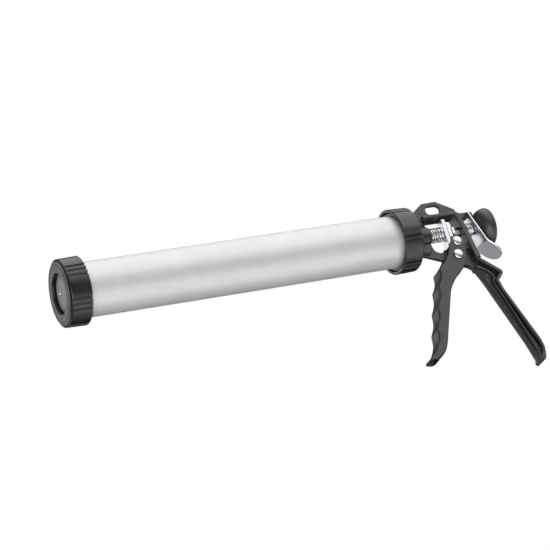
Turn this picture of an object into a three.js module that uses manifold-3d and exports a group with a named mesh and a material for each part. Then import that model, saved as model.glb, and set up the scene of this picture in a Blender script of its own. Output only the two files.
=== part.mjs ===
// A closed-barrel caulking gun for foil packs. The barrel lies along X with its outlet at -X, the
// handle hangs down in -Z, and Y is the width. Sizes are millimetres.
// Everything is drawn about the barrel's axis, with x = 0 at the rear face of the rear ring; the
// whole gun is then lifted so that its origin is the middle of the bottom of its bounding box.
import * as THREE from 'three';
import { mergeVertices } from 'three/addons/utils/BufferGeometryUtils.js';
import Module from 'manifold-3d';

const wasm = await Module();
wasm.setup();

// Driving dimensions
const GAP = 0.3;
const AXIS_HEIGHT = 158.4;
const RING_REAR_X = 140.74;

const TUBE = { outer: 27, inner: 25.4, front: -376, rear: -8.3 };
const CAP = { closed: -381, open: -358.5 };
const RING = { closed: 0, open: -22.7 };
const RING_SHAPE = { outer: 33.1, flare: 0.6, edge: 1.6, face: 3.4, hole: 19.7 };
const THREAD_OUTER = 30;
const GRIP = { groups: 6, perGroup: 3, pitch: 9, width: 2.7, depth: 1.1 };

const PISTON = { front: -379.5, rim: -371.6, crown: 19.2, flange: 24.4, outer: 25.1 };
const SCREW = { head: 2.4, height: 1.1, shank: 1.6 };
const ROD = { flats: 7.5, front: -367.9, rear: 88.4 };
const KNOB = { front: 77.9, rim: 89.2, rear: 92.4, radius: 20.6, hub: 6.4 };

const WEB_WIDTH = 4;
const FLANGE_WIDTH = 18;
const BOSS = { radius: 11.4, front: -3.4, rear: 21, bore: 6.3 };
const SPIGOT = { radius: 8, front: -23 };
const PLUG_FRONT = -16;
const BUSH_OUTER = 6;
const ROD_HOLE = 5.3;

const PIVOT = { x: 42.2, z: -28.5 };
const DRIVE_PIN = { x: 46.5, z: -13.8 };
const RIVET = { shank: 2.4, head: 5.2, dome: 2.4 };
const TRIGGER_WIDTH = 19;
const CHEEK = 3.2;
const YOKE_RADIUS = 15;

const PLATE = { thickness: 4.1, half: 6, hole: 4.65, x: 42.6, tilt: 3.5 };
const RELEASE = { thickness: 2, topHalf: 9, tabHalf: 13.5 };
const HOOK = { half: 4, bottom: 13.4, top: 19.4, rear: 79.1 };

const ROUND = 48;
const SMALL_ROUND = 20;

const COLOURS = {
  casting: [0x2b2b2d, 0.45, 0.3],
  plastic: [0x161617, 0.5, 0.0],
  aluminium: [0xd9dbdd, 0.35, 0.9],
  zinc: [0xc9ccd0, 0.3, 1.0],
  chrome: [0xe4e6e8, 0.15, 1.0],
  grey: [0x8a8c8e, 0.4, 0.2],
  nylon: [0xdedcd2, 0.6, 0.0],
  rubber: [0x1c1c1c, 0.85, 0.0],
};

// Solid helpers

function toSolid(geometry) {
  const bare = geometry.clone();
  bare.deleteAttribute('normal');
  bare.deleteAttribute('uv');
  const merged = mergeVertices(bare, 1e-4);
  const index = merged.index.array;
  const kept = [];
  for (let i = 0; i < index.length; i += 3) {
    const [a, b, c] = [index[i], index[i + 1], index[i + 2]];
    if (a !== b && b !== c && c !== a) kept.push(a, b, c);
  }
  return new wasm.Manifold(new wasm.Mesh({
    numProp: 3,
    vertProperties: new Float32Array(merged.attributes.position.array),
    triVerts: new Uint32Array(kept),
  }));
}

function toGeometry(solid) {
  const mesh = solid.getMesh();
  const geometry = new THREE.BufferGeometry();
  geometry.setAttribute('position', new THREE.BufferAttribute(mesh.vertProperties, 3));
  geometry.setIndex(new THREE.BufferAttribute(mesh.triVerts, 1));
  geometry.computeVertexNormals();
  return geometry;
}

const join = (...parts) => toGeometry(parts.map(toSolid).reduce((a, b) => a.add(b)));

function cut(body, ...cutters) {
  return toGeometry(cutters.map(toSolid).reduce((a, b) => a.subtract(b), toSolid(body)));
}

// Turns a closed outline of [x, radius] points about the X axis.
function revolve(outline, segments = ROUND) {
  const area = outline.reduce((sum, [x, r], i) => {
    const [nextX, nextR] = outline[(i + 1) % outline.length];
    return sum + x * nextR - nextX * r;
  }, 0);
  const ordered = area > 0 ? outline : [...outline].reverse();
  const onAxis = ordered.filter(([, r]) => r === 0).length > 0;
  const start = onAxis ? ordered.findIndex(([, r], i) => {
    const before = ordered[(i + ordered.length - 1) % ordered.length];
    return r === 0 && before[1] === 0;
  }) : 0;
  const turned = [...ordered.slice(start), ...ordered.slice(0, start)];
  if (!onAxis) turned.push(turned[0]);
  const points = turned.map(([x, r]) => new THREE.Vector2(r, x));
  const geometry = new THREE.LatheGeometry(points.reverse(), segments);
  geometry.rotateZ(-Math.PI / 2);
  return geometry;
}

const ringOutline = (front, rear, inner, outer) => [
  [front, inner], [front, outer], [rear, outer], [rear, inner],
];

// An outline of points, turned anticlockwise so that its holes are cut the right way round.
function shapeOf(outline) {
  const points = outline.map(([x, z]) => new THREE.Vector2(x, z));
  if (THREE.ShapeUtils.area(points) < 0) points.reverse();
  return new THREE.Shape(points);
}

// Extrudes an X-Z outline across Y, centred on the gun's middle plane or about a given y.
function across(shape, width, y = 0) {
  const options = { depth: width, bevelEnabled: false, curveSegments: 12 };
  const geometry = new THREE.ExtrudeGeometry(shape, options);
  geometry.rotateX(Math.PI / 2);
  geometry.translate(0, y + width / 2, 0);
  return geometry;
}

// Extrudes a Y-Z outline along X from a front plane.
function along(points, front, length) {
  const shape = new THREE.Shape(points.map(([y, z]) => new THREE.Vector2(y, z)));
  const geometry = new THREE.ExtrudeGeometry(shape, { depth: length, bevelEnabled: false });
  geometry.rotateX(Math.PI / 2);
  geometry.rotateZ(Math.PI / 2);
  geometry.translate(front, 0, 0);
  return geometry;
}

function box(lowX, highX, halfY, lowZ, highZ) {
  const geometry = new THREE.BoxGeometry(highX - lowX, 2 * halfY, highZ - lowZ);
  geometry.translate((lowX + highX) / 2, 0, (lowZ + highZ) / 2);
  return geometry;
}

// The band of a given thickness on both sides of an open line of X-Z points.
function band(points, thickness) {
  const half = thickness / 2;
  const left = [];
  const right = [];
  points.forEach(([x, z], i) => {
    const [beforeX, beforeZ] = points[Math.max(i - 1, 0)];
    const [afterX, afterZ] = points[Math.min(i + 1, points.length - 1)];
    const into = new THREE.Vector2(x - beforeX, z - beforeZ).normalize();
    const out = new THREE.Vector2(afterX - x, afterZ - z).normalize();
    const heading = into.clone().add(out).normalize();
    const reach = half / Math.max(heading.dot(into.lengthSq() > 0 ? into : out), 0.5);
    left.push([x - heading.y * reach, z + heading.x * reach]);
    right.unshift([x + heading.y * reach, z - heading.x * reach]);
  });
  return shapeOf([...left, ...right]);
}

function regular(sides, radius, turn = 0) {
  return Array.from({ length: sides }, (_, i) => {
    const angle = turn + (2 * Math.PI * i) / sides;
    return [radius * Math.cos(angle), radius * Math.sin(angle)];
  });
}

// A round bar on the barrel's axis.
function roundBar(front, rear, radius, segments = SMALL_ROUND) {
  return revolve([[front, 0], [front, radius], [rear, radius], [rear, 0]], segments);
}

const rodHole = (front, rear) => roundBar(front, rear, ROD_HOLE);

const hexRadius = (flats) => flats / Math.sqrt(3);

function pinAcross(x, z, radius, halfWidth, segments = SMALL_ROUND) {
  const geometry = new THREE.CylinderGeometry(radius, radius, 2 * halfWidth, segments);
  geometry.translate(x, 0, z);
  return geometry;
}

// Casing, tube and rings

// A screw cap: closed is the x of its holed face, open the x of the end that takes the tube.
function gripRing({ closed, open }, phase) {
  const { outer, flare, edge, face, hole } = RING_SHAPE;
  const bore = THREAD_OUTER + GAP;
  const inward = Math.sign(open - closed);
  const wide = outer + flare;
  const body = revolve([
    [closed, hole], [closed, outer - edge], [closed + inward * edge, outer],
    [open - inward * edge / 2, wide], [open, wide - edge / 2], [open, bore],
    [closed + inward * face, bore], [closed + inward * face, hole],
  ]);
  const cutters = [];
  for (let group = 0; group < GRIP.groups; group += 1) {
    for (let i = 0; i < GRIP.perGroup; i += 1) {
      const offset = (i - (GRIP.perGroup - 1) / 2) * GRIP.pitch;
      const angle = THREE.MathUtils.degToRad(phase + (group * 360) / GRIP.groups + offset);
      const margin = inward * 2.4;
      const tool = new THREE.BoxGeometry(Math.abs(open - closed), 2 * GRIP.depth, GRIP.width);
      tool.translate((closed + open) / 2 + margin, -outer - flare / 2, 0);
      tool.rotateX(-angle);
      cutters.push(tool);
    }
  }
  return cut(body, ...cutters);
}

function threadedCollar(front, rear) {
  const inner = TUBE.outer + GAP;
  const outer = THREAD_OUTER;
  const pitch = 4;
  const depth = 0.8;
  const outline = [[front, inner], [front, outer - depth]];
  for (let x = front + pitch / 2; x < rear - pitch / 2; x += pitch) {
    outline.push([x, outer], [x + pitch / 3, outer], [x + (2 * pitch) / 3, outer - depth]);
  }
  outline.push([rear, outer - depth], [rear, inner]);
  return revolve(outline);
}

function makeEndPlug() {
  const flangeFront = TUBE.rear + GAP;
  const flangeRear = BOSS.front - GAP;
  const bore = SPIGOT.radius + GAP;
  return revolve([
    [PLUG_FRONT, bore], [PLUG_FRONT, TUBE.inner - GAP], [flangeFront, TUBE.inner - GAP],
    [flangeFront, THREAD_OUTER - GAP], [flangeRear, THREAD_OUTER - GAP], [flangeRear, bore],
  ]);
}

function makePlugNut() {
  const front = SPIGOT.front + 0.6;
  const length = PLUG_FRONT - GAP - front;
  const blank = along(regular(6, hexRadius(24)), front, length);
  return cut(blank, roundBar(front - 1, front + length + 1, SPIGOT.radius + GAP));
}

// Frame casting

const handleRear = [
  [62.5, -33.5], [66.2, -38.4], [84.4, -55.2], [75.6, -63.4], [77.6, -74.8], [96.6, -134.6],
  [97.8, -143], [96.8, -149.6], [94.8, -153.4],
];
const handleRib = [
  [60, -44], [69, -50.5], [73.6, -57], [71.6, -66], [80.8, -101], [88, -130],
  [90.6, -141], [91, -149.5],
];
const handleFront = [
  [47.4, -38], [52.4, -39.4], [58.4, -45.6], [68.2, -75.6], [79.2, -110], [88.4, -141],
  [89.8, -153],
];

const handleTip = [
  [91.4, -150], [95.6, -149], [97.4, -152.6], [96, -156.6], [93.9, -158.4], [92.4, -157.4], [91.2, -154],
];

function webShape() {
  const web = shapeOf([
    [2.6, 21.4], [26.4, 37.1], [42.8, 37.5], [62, 25.4], [61, 19], [62.4, -20],
    ...handleRear.slice(1),
    ...handleFront.slice(1).reverse(),
    [47.4, -38.8], [42, -38.6], [34, -35], [26, -29.8], [2.6, -19.6],
  ]);
  const window = new THREE.Path();
  const corner = { x: 29, z: -13, radius: 8 };
  window.moveTo(25.4, 18);
  window.lineTo(58, 18);
  window.lineTo(60, -21);
  window.lineTo(corner.x, corner.z - corner.radius);
  window.absarc(corner.x, corner.z, corner.radius, -Math.PI / 2, Math.PI, true);
  window.lineTo(BOSS.rear - 0.4, -9);
  window.lineTo(BOSS.rear - 0.4, 10);
  web.holes.push(window);
  const slot = new THREE.Path();
  const hang = { x: 36.8, z: 28.2, straight: 3.6, radius: 4.8 };
  slot.absarc(hang.x - hang.straight, hang.z, hang.radius, Math.PI / 2, (3 * Math.PI) / 2, false);
  slot.absarc(hang.x + hang.straight, hang.z, hang.radius, -Math.PI / 2, Math.PI / 2, false);
  web.holes.push(slot);
  return web;
}

function makeFrame() {
  const flange = 3.4;
  const rearBar = [[58.8, 18.6], [59.2, 14], [64.4, -36]];
  const body = join(
    across(webShape(), WEB_WIDTH),
    across(band([[18.4, 18.5], [60, 18.5]], flange), FLANGE_WIDTH),
    across(band(rearBar, 5), FLANGE_WIDTH),
    across(band(handleRear, flange), FLANGE_WIDTH),
    across(band(handleRib, 1.6), 15),
    across(band(handleFront, 2.4), 8),
    across(shapeOf(handleTip), FLANGE_WIDTH),
    across(shapeOf([[58, HOOK.bottom], [HOOK.rear - 2, HOOK.bottom], [HOOK.rear, HOOK.bottom + 2],
      [HOOK.rear, HOOK.top - 2], [HOOK.rear - 2, HOOK.top], [58, HOOK.top + 1]]), 2 * HOOK.half),
    roundBar(BOSS.front, BOSS.rear, BOSS.radius, 32),
    roundBar(SPIGOT.front, BOSS.front + 1, SPIGOT.radius, 32),
  );
  return cut(
    body,
    roundBar(SPIGOT.front - 1, BOSS.rear + 1, BOSS.bore),
    rodHole(50, 70),
    pinAcross(PIVOT.x, PIVOT.z, 4.8, WEB_WIDTH),
  );
}

// Drive mechanism

function coil(front, rear, radius, wire, turns) {
  class Helix extends THREE.Curve {
    getPoint(t, target = new THREE.Vector3()) {
      const angle = 2 * Math.PI * turns * t;
      const x = front + (rear - front) * t;
      return target.set(x, radius * Math.cos(angle), radius * Math.sin(angle));
    }
  }
  const section = new THREE.Shape(regular(6, wire / 2).map(([x, y]) => new THREE.Vector2(x, y)));
  const options = { steps: 14 * turns, extrudePath: new Helix(), bevelEnabled: false };
  return new THREE.ExtrudeGeometry(section, options);
}

function makeDrivePlate(halfWidth, bottom, top) {
  const cornerCut = 3;
  const blank = along([
    [-halfWidth, bottom + cornerCut], [-halfWidth + cornerCut, bottom],
    [halfWidth - cornerCut, bottom],
    [halfWidth, bottom + cornerCut], [halfWidth, top], [-halfWidth, top],
  ], 0, PLATE.thickness);
  return cut(blank, roundBar(-1, PLATE.thickness + 1, PLATE.hole));
}

function makeSpacer() {
  const length = 3;
  const blank = along(regular(6, hexRadius(13), Math.PI / 6), 0, length);
  return cut(blank, rodHole(-1, length + 1));
}

function triggerShape() {
  const shape = new THREE.Shape();
  shape.moveTo(42.4, -10.8);
  shape.quadraticCurveTo(48, -6.6, 51.8, -12.2);
  shape.quadraticCurveTo(54.4, -23, 49.2, -34.6);
  shape.lineTo(42.6, -44.4);
  shape.quadraticCurveTo(23.3, -58, 18, -69.6);
  shape.lineTo(-2.4, -114.6);
  shape.quadraticCurveTo(-8.2, -129, -16, -134.4);
  shape.quadraticCurveTo(-25, -140, -30, -134.8);
  shape.quadraticCurveTo(-24.6, -131.4, -20.4, -128.4);
  const ridges = [[-11.9, -106.5], [-2.9, -83.9], [6.5, -61.3], [15, -42]];
  const dip = 2.8;
  let [lastX, lastZ] = [-20.4, -128.4];
  ridges.forEach(([x, z]) => {
    shape.quadraticCurveTo((lastX + x) / 2 + dip, (lastZ + z) / 2 - dip / 2, x, z);
    [lastX, lastZ] = [x, z];
  });
  shape.quadraticCurveTo(28.6, -32.4, 34, -22.6);
  shape.quadraticCurveTo(37, -14, 42.4, -10.8);
  return shape;
}

function makeTrigger() {
  const yoke = pinAcross(PIVOT.x, PIVOT.z, YOKE_RADIUS, TRIGGER_WIDTH / 2 - CHEEK, 32);
  const yokeTop = box(20, 62, TRIGGER_WIDTH / 2 - CHEEK, PIVOT.z, 0);
  return cut(
    across(triggerShape(), TRIGGER_WIDTH),
    yoke,
    yokeTop,
    pinAcross(PIVOT.x, PIVOT.z, RIVET.shank + GAP, TRIGGER_WIDTH),
    pinAcross(DRIVE_PIN.x, DRIVE_PIN.z, RIVET.shank + GAP, TRIGGER_WIDTH),
  );
}

// A rivet across the cheeks, with a domed head on each side.
function makeRivet() {
  const reach = TRIGGER_WIDTH / 2 + GAP;
  const crown = (sign) => [
    [sign * (reach + RIVET.dome), 0], [sign * (reach + RIVET.dome * 0.9), RIVET.head * 0.45],
    [sign * (reach + RIVET.dome * 0.55), RIVET.head * 0.85], [sign * reach, RIVET.head],
    [sign * reach, RIVET.shank],
  ];
  return revolve([...crown(-1), ...crown(1).reverse()], SMALL_ROUND);
}

function makeSleeve(inner, outer, halfWidth) {
  return revolve(ringOutline(-halfWidth, halfWidth, inner, outer), SMALL_ROUND);
}

// Release plate: a leaning plate that grips the rod, and a thumb tab bent back from its foot.

const RELEASE_TOP = { x: 70.3, z: 17.4 };
const RELEASE_BEND = { x: 77.3, z: -18.6 };
const TAB = { dirX: 0.7, dirZ: -0.714, straight: 9.8 };

function makeReleasePlate() {
  const { thickness, topHalf, tabHalf } = RELEASE;
  const lean = Math.hypot(RELEASE_BEND.x - RELEASE_TOP.x, RELEASE_BEND.z - RELEASE_TOP.z);
  const upper = new THREE.Shape();
  upper.moveTo(-HOOK.half - GAP, 0);
  upper.lineTo(-topHalf, 0);
  upper.lineTo(-tabHalf, -lean - 1);
  upper.lineTo(tabHalf, -lean - 1);
  upper.lineTo(topHalf, 0);
  upper.lineTo(HOOK.half + GAP, 0);
  upper.lineTo(HOOK.half + GAP, -(RELEASE_TOP.z - HOOK.bottom) - 0.6);
  upper.lineTo(-HOOK.half - GAP, -(RELEASE_TOP.z - HOOK.bottom) - 0.6);
  const plate = new THREE.ExtrudeGeometry(upper, { depth: thickness, bevelEnabled: false });
  plate.rotateX(Math.PI / 2);
  plate.rotateZ(Math.PI / 2);
  plate.rotateY(-Math.atan2(RELEASE_BEND.x - RELEASE_TOP.x, RELEASE_TOP.z - RELEASE_BEND.z));
  plate.translate(RELEASE_TOP.x, 0, RELEASE_TOP.z);

  const tabShape = new THREE.Shape();
  tabShape.moveTo(-tabHalf, 1);
  tabShape.lineTo(-tabHalf, -TAB.straight);
  tabShape.absarc(0, -TAB.straight, tabHalf, Math.PI, 2 * Math.PI, false);
  tabShape.lineTo(tabHalf, 1);
  const options = { depth: thickness, bevelEnabled: false, curveSegments: 16 };
  const tab = new THREE.ExtrudeGeometry(tabShape, options);
  tab.rotateX(Math.PI / 2);
  tab.rotateZ(Math.PI / 2);
  tab.rotateY(-Math.atan2(TAB.dirX, -TAB.dirZ));
  tab.translate(RELEASE_BEND.x, 0, RELEASE_BEND.z);

  return cut(join(plate, tab), rodHole(60, 90));
}

// Rod, knob and piston

function makeKnob() {
  const { front, rim, rear, radius, hub } = KNOB;
  const seat = hexRadius(ROD.flats) + GAP;
  const dome = [];
  const steps = 6;
  for (let i = 0; i <= steps; i += 1) {
    const angle = (i / steps) * (Math.PI / 2);
    const depth = (rim - front) * (1 - Math.cos(angle));
    dome.push([front + depth, hub + (radius - hub) * Math.sin(angle)]);
  }
  return revolve([
    [front, seat], ...dome, [rear - 0.8, radius], [rear, radius - 1.6], [rear, 0],
    [ROD.rear + GAP, 0], [ROD.rear + GAP, seat],
  ], 40);
}

function makePistonDisc() {
  const { front, rim, crown, flange } = PISTON;
  const bore = SCREW.shank + GAP;
  const rear = rim + 3.2;
  return revolve([
    [front, bore], [front + 0.6, 0.55 * crown], [front + 1.6, 0.82 * crown], [front + 2.6, crown],
    [rim - 0.4, crown + 0.5], [rim, flange], [rear, flange], [rear, bore],
  ]);
}

function makePistonCup() {
  const front = PISTON.rim + 3.5;
  const rear = -358;
  const bore = hexRadius(ROD.flats) + GAP;
  return revolve([
    [front, bore], [front, PISTON.outer - 1], [front + 1, PISTON.outer], [rear, PISTON.outer],
    [rear, PISTON.outer - 1.6], [front + 4, PISTON.outer - 3.4], [front + 4, bore],
  ]);
}

function makePistonScrew() {
  const { head, height, shank } = SCREW;
  const seat = PISTON.front - GAP;
  return revolve([
    [seat - height, 0], [seat - height, 0.5 * head], [seat - 0.4 * height, 0.92 * head],
    [seat, head], [seat, shank], [ROD.front - GAP, shank], [ROD.front - GAP, 0],
  ], SMALL_ROUND);
}

// Assembly

const gun = new THREE.Group();
gun.position.set(RING_REAR_X, 0, AXIS_HEIGHT);

function add(name, geometry, finish, place = {}) {
  const [color, roughness, metalness] = COLOURS[finish];
  const material = new THREE.MeshStandardMaterial({ color, roughness, metalness });
  const mesh = new THREE.Mesh(geometry, material);
  mesh.name = name;
  if (place.position) mesh.position.set(...place.position);
  if (place.rotation) mesh.rotation.set(...place.rotation);
  gun.add(mesh);
}

const acrossY = [0, 0, Math.PI / 2];
const plateTilt = [0, THREE.MathUtils.degToRad(PLATE.tilt), 0];
const sealFront = CAP.closed + RING_SHAPE.face + GAP;
const rodCorner = hexRadius(ROD.flats);
const backPlateFront = -363.4;

add('barrel_tube', revolve(ringOutline(TUBE.front, TUBE.rear, TUBE.inner, TUBE.outer)), 'aluminium');
add('front_collar', threadedCollar(TUBE.front, CAP.open - 2), 'plastic');
add('rear_collar', threadedCollar(RING.open + 2, TUBE.rear), 'plastic');
add('front_cap', gripRing(CAP, 13.7), 'plastic');
add('cap_seal', revolve(
  ringOutline(sealFront, TUBE.front - GAP, RING_SHAPE.hole + 1.4, THREAD_OUTER - GAP),
), 'rubber');
add('rear_ring', gripRing(RING, -13.3), 'plastic');
add('end_plug', makeEndPlug(), 'plastic');
add('plug_nut', makePlugNut(), 'zinc');
add('rod_bush', revolve(ringOutline(SPIGOT.front + 1, BOSS.rear - 0.5, rodCorner + GAP, BUSH_OUTER),
  SMALL_ROUND), 'nylon');

add('main_frame', makeFrame(), 'casting');
add('pivot_bush', makeSleeve(RIVET.shank + GAP, 4.5, 6), 'zinc', {
  position: [PIVOT.x, 0, PIVOT.z], rotation: acrossY,
});
add('pivot_rivet', makeRivet(), 'chrome', { position: [PIVOT.x, 0, PIVOT.z], rotation: acrossY });

add('trigger', makeTrigger(), 'casting');
add('drive_rivet', makeRivet(), 'chrome', { position: [DRIVE_PIN.x, 0, DRIVE_PIN.z], rotation: acrossY });
add('drive_roller', makeSleeve(RIVET.shank + GAP, 4.2, 6), 'zinc', {
  position: [DRIVE_PIN.x, 0, DRIVE_PIN.z], rotation: acrossY,
});

add('drive_plate_front', makeDrivePlate(PLATE.half, -17, 14.8), 'zinc', {
  position: [PLATE.x - PLATE.thickness, 0, 0], rotation: plateTilt,
});
add('drive_plate_rear', makeDrivePlate(PLATE.half - 0.2, -8.6, 8.8), 'zinc', {
  position: [PLATE.x + GAP, 0, 0], rotation: plateTilt,
});
add('plate_spacer', makeSpacer(), 'zinc', {
  position: [PLATE.x + PLATE.thickness + 2 * GAP, 0, 0], rotation: plateTilt,
});
add('drive_spring', coil(BOSS.rear + 1.2, PLATE.x - PLATE.thickness - 2, 7.2, 1.5, 5), 'chrome');

add('release_plate', makeReleasePlate(), 'zinc');
add('release_spring', coil(65, 71, 6.8, 1.2, 4), 'chrome');

add('push_rod', along(regular(6, rodCorner), ROD.front, ROD.rear - ROD.front), 'zinc');
add('rod_knob', makeKnob(), 'plastic');
add('piston_disc', makePistonDisc(), 'grey');
add('piston_cup', makePistonCup(), 'rubber');
add('piston_back_plate', revolve(
  ringOutline(backPlateFront, backPlateFront + 2, rodCorner + GAP, 19),
), 'zinc');
add('piston_nut', cut(
  along(regular(6, hexRadius(16)), backPlateFront + 2 + GAP, 7),
  roundBar(backPlateFront, backPlateFront + 12, rodCorner + GAP),
), 'zinc');
add('piston_screw', makePistonScrew(), 'chrome');

export default gun;
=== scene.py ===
"""Looks of a closed-barrel caulking gun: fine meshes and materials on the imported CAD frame.

Shapes are drawn in millimetres about the barrel's axis, with x = 0 at the rear face of the rear
ring, -X towards the outlet, +Z up and -Y towards the camera. put() moves them into the row frame.
"""

import math

import bpy
from mathutils import Matrix, Vector, geometry


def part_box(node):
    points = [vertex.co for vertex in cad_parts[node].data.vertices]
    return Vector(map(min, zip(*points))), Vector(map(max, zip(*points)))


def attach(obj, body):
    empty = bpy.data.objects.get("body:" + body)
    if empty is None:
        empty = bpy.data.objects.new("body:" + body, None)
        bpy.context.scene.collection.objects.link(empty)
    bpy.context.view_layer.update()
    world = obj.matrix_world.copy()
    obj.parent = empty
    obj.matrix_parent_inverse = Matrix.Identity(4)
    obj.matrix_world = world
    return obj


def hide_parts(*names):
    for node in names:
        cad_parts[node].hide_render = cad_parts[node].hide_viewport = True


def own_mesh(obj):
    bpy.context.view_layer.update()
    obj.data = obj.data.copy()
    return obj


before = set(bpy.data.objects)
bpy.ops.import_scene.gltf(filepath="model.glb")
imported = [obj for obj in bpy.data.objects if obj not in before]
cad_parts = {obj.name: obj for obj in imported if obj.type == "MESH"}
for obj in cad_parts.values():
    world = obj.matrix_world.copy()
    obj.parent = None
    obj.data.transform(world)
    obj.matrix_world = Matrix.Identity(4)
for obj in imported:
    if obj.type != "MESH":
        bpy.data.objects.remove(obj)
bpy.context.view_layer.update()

MM = 0.001
TUBE_LOW, TUBE_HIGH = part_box("barrel_tube")
ORIGIN = Vector((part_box("rear_ring")[1].x, 0, (TUBE_LOW.z + TUBE_HIGH.z) / 2))


def span(node):
    """A CAD node's lowest and highest x, in millimetres about the barrel's axis."""
    low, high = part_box(node)
    return (low.x - ORIGIN.x) / MM, (high.x - ORIGIN.x) / MM


TUBE_FRONT, TUBE_REAR = span("barrel_tube")
TUBE_OUTER = (TUBE_HIGH.z - TUBE_LOW.z) / 2 / MM
TUBE_WALL = 1.6

CAP_FRONT, CAP_REAR = span("front_cap")
RING_FRONT, RING_REAR = span("rear_ring")
CAP_OUTER = 33.1
CAP_FLARE = 0.6
CAP_HOLE = 19.7
CAP_BORE = 30.3
GRIP_GROUPS, GRIPS_PER_GROUP, GRIP_PITCH = 6, 3, 9.0
GRIP_WIDTH, GRIP_DEPTH = 2.9, 1.25
FRONT_GRIP_PHASE, REAR_GRIP_PHASE = 13.7, -13.3

WEB_HALF = 2.0
FLANGE_HALF = 9.0
FLANGE = 3.4
RIB_HALF = 7.5
BOSS_RADIUS, BOSS_BORE, BOSS_FRONT, BOSS_REAR = 11.4, 6.3, -3.4, 21.0
SPIGOT_RADIUS, SPIGOT_FRONT = 8.0, -23.0
EYE_RADIUS, EYE_HALF, EYE_BORE = 9.5, 5.6, 4.7
HOOK_HALF, HOOK_BOTTOM, HOOK_TOP, HOOK_REAR = 4.0, 13.4, 19.4, 79.1

PIVOT = (42.2, -28.5)
DRIVE_PIN = (46.5, -13.8)
RIVET_HEAD, RIVET_DOME, RIVET_SHANK = 5.2, 2.4, 2.4
YOKE_RADIUS = 15.0
TRIGGER_HALF = 9.5
CHEEK = 3.2

PLATE_X, PLATE_THICK, PLATE_TILT = 42.6, 4.1, 3.5
PLATE_HOLE = 4.65
SPACER_FLATS, SPACER_THICK = 13.0, 3.0
ROD_FLATS = 7.5
ROD_HOLE = 5.3
GAP = 0.3

# ACROSS lays an outline in the X-Z plane and gives it thickness on Y. ALONG stacks it on X.
ACROSS = Matrix(((1, 0, 0), (0, 0, -1), (0, 1, 0))).to_4x4()
ALONG = Matrix(((0, 0, 1), (1, 0, 0), (0, 1, 0))).to_4x4()


# Outlines, in millimetres


def soften(points, radius=0.6, steps=4, closed=True):
    """Rounds a line's corners. A point's third number, where it has one, is its own radius."""
    result = []
    count = len(points)
    for i, point in enumerate(points):
        here = Vector(point[:2])
        reach = point[2] if len(point) > 2 else radius
        if reach == 0 or (not closed and i in (0, count - 1)):
            result.append(here)
            continue
        before = Vector(points[i - 1][:2]) - here
        after = Vector(points[(i + 1) % count][:2]) - here
        half_angle = before.angle(after) / 2
        tangent = reach / max(math.tan(half_angle), 1e-3)
        tangent = min(tangent, 0.45 * before.length, 0.45 * after.length)
        start = here + before.normalized() * tangent
        end = here + after.normalized() * tangent
        for step in range(steps + 1):
            t = step / steps
            result.append(start * (1 - t) ** 2 + here * 2 * t * (1 - t) + end * t**2)
    return result


def arc(x, z, radius, start, end, steps=16):
    """The points of an arc between two angles in degrees, each with no rounding of its own."""
    turns = [math.radians(start + (end - start) * i / steps) for i in range(steps + 1)]
    return [(x + radius * math.cos(a), z + radius * math.sin(a), 0) for a in turns]


def quarter_turn(steps):
    return [math.pi / 2 * i / steps for i in range(steps + 1)]


def bow(start, control, end, steps=8):
    """The points of a quadratic curve, without its first point."""
    start, control, end = (Vector(p[:2]) for p in (start, control, end))
    points = []
    for i in range(1, steps + 1):
        t = i / steps
        point = start * (1 - t) ** 2 + control * 2 * t * (1 - t) + end * t**2
        points.append((point.x, point.y, 0))
    return points


def strip(points, thickness, radius=3.0):
    """The outline of a strip of an even thickness about a line, with rounded bends."""
    line = [Vector(p) for p in soften(points, radius, closed=False)]
    left, right = [], []
    for i, point in enumerate(line):
        before = point - line[i - 1] if i else line[1] - point
        after = line[i + 1] - point if i + 1 < len(line) else before
        heading = (before.normalized() + after.normalized()).normalized()
        side = Vector((-heading.y, heading.x)) * thickness / 2
        side /= max(heading.dot(after.normalized()), 0.5)
        left.append(point + side)
        right.insert(0, point - side)
    return left + right


def area(loop):
    """A loop's signed area, positive when it runs anticlockwise."""
    return sum(a[0] * b[1] - b[0] * a[1] for a, b in zip(loop, loop[1:] + loop[:1])) / 2


def inset(loop, distance):
    """Moves an anticlockwise loop inwards, so a clockwise hole grows."""
    moved = []
    for i, point in enumerate(loop):
        before = (point - loop[i - 1]).normalized()
        after = (loop[(i + 1) % len(loop)] - point).normalized()
        heading = (before + after).normalized()
        reach = distance / max(heading.dot(after), 0.4)
        moved.append(point + Vector((-heading.y, heading.x)) * reach)
    return moved


def path_point(line, fraction):
    """The point at a fraction of a line's length."""
    lengths = [(Vector(b) - Vector(a)).length for a, b in zip(line, line[1:])]
    left = fraction * sum(lengths)
    for (a, b), length in zip(zip(line, line[1:]), lengths):
        if left <= length:
            return Vector(a).lerp(Vector(b), left / length)
        left -= length
    return Vector(line[-1])


# Solids: each is a list of points and a list of faces, in millimetres


def merge(*solids):
    points, faces = [], []
    for solid_points, solid_faces in solids:
        base = len(points)
        points += solid_points
        faces += [[base + i for i in face] for face in solid_faces]
    return points, faces


def facing_out(points, faces):
    """Turns every face round if the solid is inside out."""
    volume = 0
    for face in faces:
        for i in range(1, len(face) - 1):
            a, b, c = (points[face[k]] for k in (0, i, i + 1))
            volume += a.dot(b.cross(c))
    return points, faces if volume > 0 else [list(face)[::-1] for face in faces]


def moved(solid, matrix):
    return [matrix @ p for p in solid[0]], solid[1]


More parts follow.
